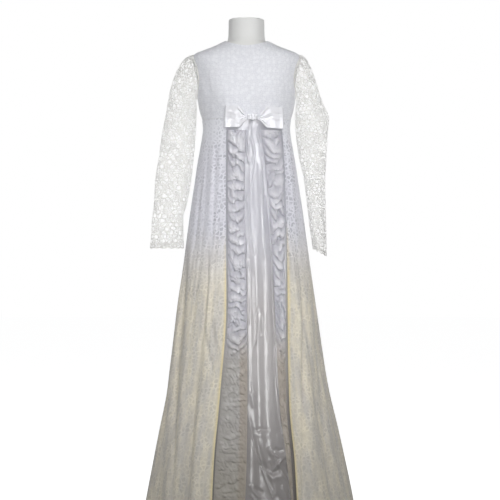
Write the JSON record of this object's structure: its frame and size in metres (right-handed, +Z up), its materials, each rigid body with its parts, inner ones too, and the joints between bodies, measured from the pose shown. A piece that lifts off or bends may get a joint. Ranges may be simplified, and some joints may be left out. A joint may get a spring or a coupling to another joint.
{
  "type": "wedding dress on dress form",
  "caption": "Empire-line long-sleeved lace wedding dress with satin front panel, ruffles and bow, on a limbless dress form with a round base.",
  "frame": {"origin": "on the floor at the centre of the underside of the stand's round base, below the middle of the dress form", "axes": "+Z up from the floor through the neck; the front of the dress, with the bow, faces -Y; +X is to the right of someone who looks at the front"},
  "size_m": [0.6631, 0.5669, 1.55],
  "materials": {
    "form_white": "matt white shell",
    "stand_steel": "brushed",
    "lace_on_lining": "lace mounted on its lining",
    "sleeve_lace": "unlined openwork lace",
    "lace": "openwork lace, ivory lower down",
    "lining": "plain ivory lining",
    "satin": "glossy satin",
    "organza": "sheer organza"
  },
  "bodies": {
    "root": {"form_torso": "form_white", "stand_base": "stand_steel", "stand_pole": "stand_steel", "bodice_front": "lace_on_lining", "bodice_back_left": "lace_on_lining", "bodice_back_right": "lace_on_lining", "back_lap_bodice": "lace_on_lining", "back_lap_skirt": "lace_on_lining", "underskirt_front": "satin", "underskirt_side_left": "lining", "underskirt_side_right": "lining", "underskirt_back_left": "lining", "underskirt_back_right": "lining", "overskirt_front_left": "lace", "overskirt_front_right": "lace", "overskirt_back_left": "lace", "overskirt_back_right": "lace", "ruffle_left": "organza", "ruffle_right": "organza", "sleeve_left_front": "sleeve_lace", "sleeve_left_back": "sleeve_lace", "sleeve_right_front": "sleeve_lace", "sleeve_right_back": "sleeve_lace", "bow_loop_left": "satin", "bow_loop_right": "satin", "bow_knot": "satin"}
  },
  "joints": []
}
